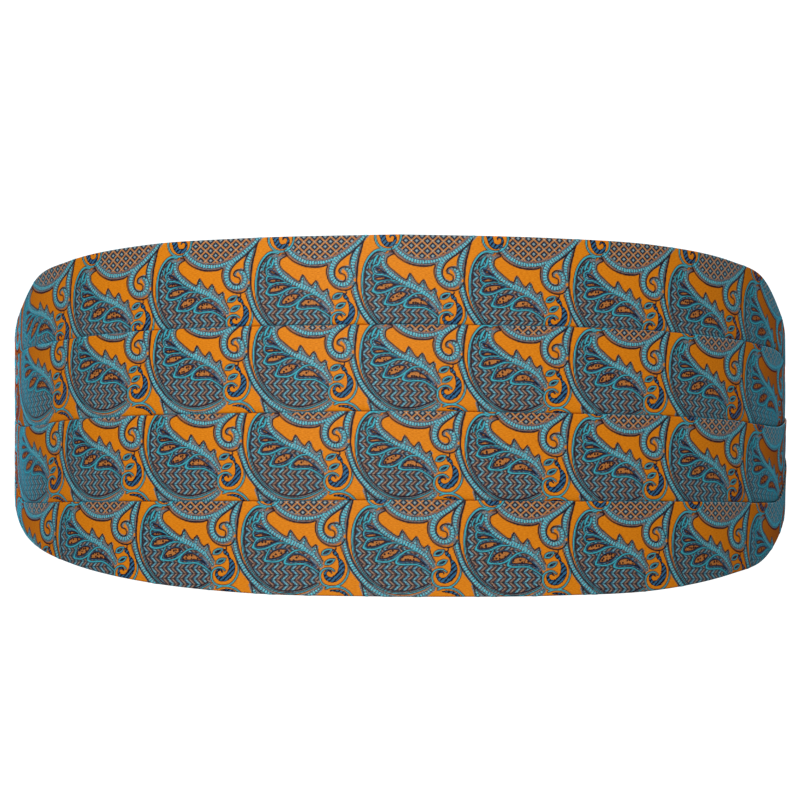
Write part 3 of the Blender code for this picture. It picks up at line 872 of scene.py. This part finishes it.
# The shapes' edges are frayed: a little of the thread noise is added to their fields.
def silkMaterial():
    material, tree, shader = newMaterial("jacquard_silk", {
        "Roughness": 0.5, "Specular IOR Level": 0.08, "Sheen Roughness": 0.45})
    weave = addNode(tree, "UVMap", uv_map="weave")
    values = {name: linear(code) for name, code in silk["colours"].items()}
    for axis, name in enumerate(("across", "down")):
        values[name] = addNode(tree, "SeparateXYZ", (weave,), axis)
    for name, (across, down, detail) in silk["noises"].items():
        place = addNode(tree, "VectorMath", (weave, (across, down, 1.0)), operation="MULTIPLY")
        values[name] = addNode(tree, "TexNoise", {"Vector": place, "Scale": 1.0, "Detail": detail})
    values["dots"] = addNode(tree, "TexVoronoi", {"Vector": weave, "Scale": silk["dotCells"],
                                                  "Randomness": 0.6}, "Distance")
    values["grain"] = addNode(tree, "TexWave", {"Vector": weave, "Scale": silk["grainCells"],
                                                "Distortion": 1.5, "Detail": 1.0}, 1, bands_direction="Y")
    for name in silk["lines"] + silk["shapes"]:
        values[name + "Field"] = addNode(tree, "Attribute", output="Fac", attribute_name=name)
    edgeRows = [("edge", "MULTIPLY_ADD", "threads", silk["fray"], -silk["fray"] / 2)]
    edgeRows += [(name + "Edge", "ADD", name + "Field", "edge") for name in silk["shapes"]]
    addPattern(tree, values, edgeRows + fillingRows() + layerRows() + sheenRows())
    bump = addNode(tree, "Bump", {"Height": values["relief"], "Strength": 0.25, "Distance": 0.12 * mm})
    fillInputs(tree, shader, {"Base Color": values["colour"], "Normal": bump,
                              "Sheen Weight": values["sheen"], "Sheen Tint": values["tint"]})
    return material


# The same silk from behind: the floats of the weft make it duller and darker, with streaks
# along the threads.
def reverseMaterial():
    material, tree, shader = newMaterial("silk_reverse", {"Roughness": 0.65, "Specular IOR Level": 0.25})
    weave = addNode(tree, "UVMap", uv_map="weave")
    place = addNode(tree, "VectorMath", (weave, silk["backStreaks"]), operation="MULTIPLY")
    values = {"dull": linear("#6E3A18"), "bright": linear("#A5601F"),
              "threads": addNode(tree, "TexNoise", {"Vector": place, "Scale": 1.0, "Detail": 2.0})}
    addPattern(tree, values, [("colour", "dull", "bright", "threads", 0.3, 0.7)])
    fillInputs(tree, shader, {"Base Color": values["colour"]})
    return material


silkFace, silkBack = silkMaterial(), reverseMaterial()
for index in range(4):
    pleatPiece, pathLength = buildPleat(index, silkFace, silkBack)
    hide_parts("pleated_cloth")
    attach(pleatPiece, "root")
    print("pleat", index + 1, "built:", len(pleatPiece.data.polygons), "faces, path", round(pathLength, 4))


# The straps: black ribbed elastic, sewn behind the ends of the cloth and passed through
# the clasp, whose box gives the place of its slots. The pitches of ribs and yarns are in
# the map's millimetres, and so is the fuzz, in cells a millimetre.
claspLow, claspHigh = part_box("back_clasp")
webbing = {
    "width": 38 * mm, "thickness": 1.2 * mm, "edgeRadius": 0.5 * mm,
    "overlap": 20 * mm, "clothAt": -2.2 * mm, "mainAt": -4.5 * mm, "easeEnd": 262 * mm,
    "returnLength": 28 * mm, "returnEase": 8 * mm, "seat": 0.3 * mm, "outerBar": 5 * mm,
    "pastClasp": 0.6 * mm, "ribPitch": 1.3, "yarnPitch": 0.7, "fuzzCells": 1.2,
    "claspHalf": claspHigh[0], "claspDepth": (claspHigh[1] + claspLow[1]) / 2,
    "claspThickness": claspHigh[1] - claspLow[1],
}


# From 0 at the start to 1 at the end, as the cubic that is level at both.
def eased(place, start, end):
    share = np.clip((place - start) / (end - start), 0, 1)
    return share * share * (3 - 2 * share)


# Plan line of the right strap: an offset of the waist that eases from the cloth to its own
# place, a half circle through the slot, and back along the inner side.
def strapPlan():
    back = np.linspace(math.pi / 2, math.pi, 4001)
    slotEdge = webbing["claspHalf"] - webbing["outerBar"]
    mainX = ellipsePoint(back, webbing["mainAt"])[0]
    innerX, innerY = ellipsePoint(back, webbing["mainAt"] - webbing["thickness"] - webbing["seat"])
    stopAngle = np.interp(-slotEdge, -mainX, back)
    stop = np.interp(stopAngle, waistAngles, waistLengths)
    clothEnd = waist["pleatedLength"] / 2
    along = np.linspace(clothEnd - webbing["overlap"], stop, 170)
    inward = eased(along, clothEnd, webbing["easeEnd"]) * (webbing["mainAt"] - webbing["clothAt"])
    x, y = onWaist(along, webbing["clothAt"] + inward)
    halfWrap = webbing["claspThickness"] / 2 + webbing["seat"] + webbing["thickness"] / 2
    returnDepth = webbing["claspDepth"] - halfWrap
    middle, radius = (y[-1] + returnDepth) / 2, (y[-1] - returnDepth) / 2
    turn = np.radians(np.linspace(90, 270, 15))[1:]
    flatEnd = webbing["claspHalf"] + webbing["pastClasp"]
    easeEnd = flatEnd + webbing["returnEase"]
    rest = np.concatenate((np.linspace(slotEdge, flatEnd, 6)[1:], np.linspace(flatEnd, easeEnd, 10)[1:],
                           np.linspace(easeEnd, slotEdge + webbing["returnLength"], 9)[1:]))
    share = eased(rest, flatEnd, easeEnd)
    inner = np.interp(-rest, -innerX, innerY)
    return (np.concatenate((x, slotEdge + radius * np.cos(turn), rest)),
            np.concatenate((y, middle + radius * np.sin(turn), (1 - share) * returnDepth + share * inner)))


# Section of the strap as a ring of (outward, height): two flat sides and two rounded edges.
def strapSection():
    half, edge, thick = webbing["width"] / 2, webbing["edgeRadius"], webbing["thickness"] / 2
    flat = np.linspace(-half + edge, half - edge, 34)
    arc = np.radians(np.linspace(90, -90, 7))[1:-1]
    outer = np.stack((np.full(34, thick), flat), axis=-1)
    top = np.stack((thick * np.sin(arc), half - edge + edge * np.cos(arc)), axis=-1)
    low = np.stack((-thick * np.sin(arc), -half + edge - edge * np.cos(arc)), axis=-1)
    return np.concatenate((outer, top, outer[::-1] * (-1, 1), low))


# The section carried along the plan line, turned to its normal; the left strap is the
# right one's mirror image.
def buildStrap(name, side, material):
    x, y = strapPlan()
    step = np.hypot(np.gradient(x), np.gradient(y))
    normalX, normalY = np.gradient(y) / step, -np.gradient(x) / step
    length = np.concatenate(([0.0], np.cumsum(np.hypot(np.diff(x), np.diff(y)))))
    section = strapSection()
    offset, height = section[:, 0], section[:, 1]
    points = np.stack((side * (x[:, None] + normalX[:, None] * offset),
                       y[:, None] + normalY[:, None] * offset,
                       np.broadcast_to(height, (len(x), len(height)))), axis=-1)
    numbers = np.arange(points.shape[0] * points.shape[1]).reshape(points.shape[:2])
    ring = np.concatenate((numbers, numbers[:, :1]), axis=1)
    group = quadGroup(ring, length / length[-1], np.linspace(0, 1, ring.shape[1]))
    caps = [numbers[0], numbers[-1][::-1]]
    if side < 0:
        group, caps = tuple(array[:, ::-1] for array in group), [cap[::-1] for cap in caps]
    places = np.stack((np.broadcast_to(length[:, None] / mm, numbers.shape),
                       np.broadcast_to(height[None, :] / mm, numbers.shape)), axis=-1).reshape(-1, 2)
    mesh = meshFrom(name, points.reshape(-1, 3), [group], caps, 1, {"webbing": places}, {})
    return addObject(name, mesh, material), float(length[-1])


# Elastic webbing: rubber cores wrapped in black polyester yarn. The cores give it ribs
# along its length and the yarn crosses them, both as sines, with a dull sheen.
def webbingMaterial():
    material, tree, shader = newMaterial("black_elastic_webbing", {"Roughness": 0.75, "Sheen Weight": 0.2})
    places = addNode(tree, "UVMap", uv_map="webbing")
    values = {"black": linear("#17171A"), "charcoal": linear("#2A2A2E"),
              "along": addNode(tree, "SeparateXYZ", (places,), 0),
              "height": addNode(tree, "SeparateXYZ", (places,), 1),
              "fuzzAndGrooveShade": addNode(tree, "TexNoise", {"Vector": places, "Scale": webbing["fuzzCells"],
                                                 "Detail": 3.0})}
    addPattern(tree, values, [
        ("ribs", "MULTIPLY", "height", 2 * math.pi / webbing["ribPitch"]), ("ribs", "SINE", "ribs"),
        ("bend", "MULTIPLY", "ribs", 0.8),
        ("yarns", "MULTIPLY_ADD", "along", 2 * math.pi / webbing["yarnPitch"], "bend"),
        ("yarns", "SINE", "yarns"), ("relief", "MULTIPLY_ADD", "yarns", 0.5, "ribs"),
        # Besides the yarn's fuzz, the colour is painted shade: a little darker in the grooves of the ribs
        # and yarns and lighter on their crests.
        ("fuzzAndGrooveShade", "MULTIPLY_ADD", "relief", 0.08, "fuzzAndGrooveShade"),
        ("colour", "black", "charcoal", "fuzzAndGrooveShade", 0.3, 0.75),
    ])
    bump = addNode(tree, "Bump", {"Height": values["relief"], "Strength": 0.5, "Distance": 0.15 * mm})
    fillInputs(tree, shader, {"Base Color": values["colour"], "Normal": bump})
    return material


elastic = webbingMaterial()
for strapName, strapSide, strapNode in (("strapLeft", -1, "strap_left"), ("strapRight", 1, "strap_right")):
    strapPiece, strapLength = buildStrap(strapName, strapSide, elastic)
    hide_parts(strapNode)
    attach(strapPiece, "root")
    print("strap built:", strapName, round(strapLength, 4))


# Stitches that hold the cloth's ends to the straps: short raised threads in two upright
# rows, on the cloth's face and on the strap's inner side.
stitches = {
    "from": -16.5 * mm, "to": 16.5 * mm, "spacing": 3.0 * mm, "length": 2.1 * mm,
    "width": 0.45 * mm, "rise": 0.22 * mm, "sink": 0.1 * mm, "rows": (208.5 * mm, 221.5 * mm),
    "faceSpacing": 2.6 * mm, "fromFold": 1.6 * mm, "aboveEdge": 1.2 * mm,
}


# Each stitch is a small box on the waist's surface: its eight corners are its place plus or
# minus half its width and length, sunk in and raised.
def buildStitches(name, side, material):
    heights = np.arange(stitches["from"], stitches["to"] + 1e-6, stitches["spacing"])
    innerFace = webbing["clothAt"] - webbing["thickness"] / 2
    places = [(side * row, height, innerFace - stitches["rise"], innerFace + stitches["sink"])
              for row in stitches["rows"] for height in heights]
    for row in stitches["rows"]:
        levels = [float(level[0]) for level in edgeHeights(np.array([side * row]))]
        for pleat in range(4):
            low = levels[pleat + 1] + stitches["aboveEdge"]
            if pleat < 3:
                low += cloth["dipLimit"] * (levels[pleat] - levels[pleat + 1])
            for height in np.arange(levels[pleat] - stitches["fromFold"], low, -stitches["faceSpacing"]):
                places.append((side * row, height, -stitches["sink"], stitches["rise"]))
    places = np.array(places)
    signs = np.array([(a, b, c) for a in (-1, 1) for b in (-1, 1) for c in (0, 1)])
    along = places[:, :1] + signs[None, :, 0] * stitches["width"] / 2
    height = places[:, 1:2] + signs[None, :, 1] * stitches["length"] / 2
    outward = places[:, 2:3] + signs[None, :, 2] * (places[:, 3:4] - places[:, 2:3])
    x, y = onWaist(along, outward)
    points = np.stack((x, y, height), axis=-1).reshape(-1, 3)
    box = np.array([(0, 1, 3, 2), (4, 6, 7, 5), (0, 4, 5, 1), (2, 3, 7, 6), (0, 2, 6, 4), (1, 5, 7, 3)])
    faces = (np.arange(len(places))[:, None, None] * 8 + box[None]).reshape(-1, 4)
    mesh = bpy.data.meshes.new(name)
    mesh.from_pydata(points.tolist(), [], faces.tolist())
    mesh.update()
    return addObject(name, mesh, material)


# Polyester sewing thread: fine, smooth and slightly glossy.
thread = newMaterial("polyester_thread", {"Base Color": linear("#B8661A"), "Roughness": 0.5})[0]
for stitchName, stitchSide in (("stitchesLeft", -1), ("stitchesRight", 1)):
    stitchPiece = buildStitches(stitchName, stitchSide, thread)
    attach(stitchPiece, "root")
print("stitches built")


# Moulded nylon: black, satin, with the fine grain of a spark-eroded mould, drawn a few
# times as coarse as the real one so that it shows, and faintly mottled.
nylon = {"grain": 0.4 * mm, "mottle": 16.67 * mm}


# Both are noises on the object's own coordinates, one as relief and one as colour.
def nylonMaterial():
    material, tree, shader = newMaterial("moulded_nylon", {"Roughness": 0.42})
    spot = addNode(tree, "TexCoord", output="Object")
    grain = addNode(tree, "TexNoise", {"Vector": spot, "Scale": 1 / nylon["grain"], "Detail": 3.0})
    values = {"black": linear("#1B1B1D"), "charcoal": linear("#242427"),
              "mottle": addNode(tree, "TexNoise", {"Vector": spot, "Scale": 1 / nylon["mottle"],
                                                   "Detail": 2.0})}
    addPattern(tree, values, [("colour", "black", "charcoal", "mottle", 0.0, 1.0)])
    bump = addNode(tree, "Bump", {"Height": grain, "Strength": 0.25, "Distance": 0.1 * mm})
    fillInputs(tree, shader, {"Base Color": values["colour"], "Normal": bump})
    return material


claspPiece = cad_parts["back_clasp"]
claspPiece.data.materials.clear()
claspPiece.data.materials.append(nylonMaterial())
print("clasp finished")


# The stage: a round white floor that sweeps up into a wall, in one matt white paint that
# glows a little, so that it stays plain. Sizes are in metres.
stage = {"floor": -0.30, "flatRadius": 3.2, "sweep": 1.2, "wallTop": 4.0, "steps": 96}


# The stage is turned round the upright axis from a profile of (radius, height): level, a
# quarter circle and a wall.
def buildStage():
    bend = np.radians(np.linspace(0, 90, 13))
    radius = np.concatenate(([0.001, 1.0, 2.2], stage["flatRadius"] + stage["sweep"] * np.sin(bend),
                             [stage["flatRadius"] + stage["sweep"]]))
    height = np.concatenate(([0.0, 0.0, 0.0], stage["sweep"] * (1 - np.cos(bend)), [stage["wallTop"]]))
    turn = np.linspace(0, 2 * math.pi, stage["steps"] + 1)[:-1]
    points = np.stack((radius[None, :] * np.cos(turn)[:, None], radius[None, :] * np.sin(turn)[:, None],
                       np.broadcast_to(height + stage["floor"], (len(turn), len(radius)))), axis=-1)
    numbers = np.arange(points.shape[0] * points.shape[1]).reshape(points.shape[:2])
    numbers = np.concatenate((numbers, numbers[:1]))
    faces = np.stack((numbers[:-1, :-1], numbers[:-1, 1:], numbers[1:, 1:], numbers[1:, :-1]),
                     axis=-1).reshape(-1, 4)
    mesh = bpy.data.meshes.new("backdrop")
    mesh.from_pydata(points.reshape(-1, 3).tolist(), [], faces.tolist())
    mesh.shade_smooth()
    paint = newMaterial("white_backdrop_paint", {
        "Base Color": linear("#F4F4F4"), "Roughness": 1.0, "Specular IOR Level": 0.0,
        "Emission Color": linear("#FFFFFF"), "Emission Strength": 1.0})[0]
    backdrop = addObject("backdrop", mesh, paint)
    backdrop.visible_diffuse = backdrop.visible_glossy = False


buildStage()


# Soft boxes: each an area light that is tilted and turned to face the origin.
def addLight(name, place, size, power):
    lamp = bpy.data.lights.new(name, "AREA")
    lamp.shape = "RECTANGLE"
    lamp.size, lamp.size_y = size
    lamp.energy = power
    obj = bpy.data.objects.new(name, lamp)
    bpy.context.scene.collection.objects.link(obj)
    obj.location = place
    tilt = math.pi / 2 - math.atan2(place[2], math.hypot(place[0], place[1]))
    obj.rotation_euler = (tilt, 0.0, math.atan2(place[0], -place[1]))


# Lights by name: place and size in metres, power in watts.
lights = {"key": ((-0.18, -1.05, 0.38), (0.6, 0.3), 12.2), "rim": ((0.0, 2.2, 0.6), (1.6, 1.0), 26)}
for lightName, light in lights.items():
    addLight(lightName, *light)
world = bpy.data.worlds.new("studio")
world.use_nodes = True
fillInputs(world.node_tree, world.node_tree.nodes["Background"],
           {"Color": linear("#FFFFFF"), "Strength": 0.12})
bpy.context.scene.world = world
bpy.context.scene.view_settings.view_transform = "Standard"

# The camera: level, straight in front, as far away as the photo's perspective asks for.
view = {"lens": 217.8, "sensor": 36.0, "place": (0.0, -1.906, 0.0058)}
lens = bpy.data.cameras.new("camera")
lens.lens, lens.sensor_width = view["lens"], view["sensor"]
camera = bpy.data.objects.new("camera", lens)
bpy.context.scene.collection.objects.link(camera)
camera.location = view["place"]
camera.rotation_euler = (math.pi / 2, 0.0, 0.0)
bpy.context.scene.camera = camera
print("stage, lights and camera set")
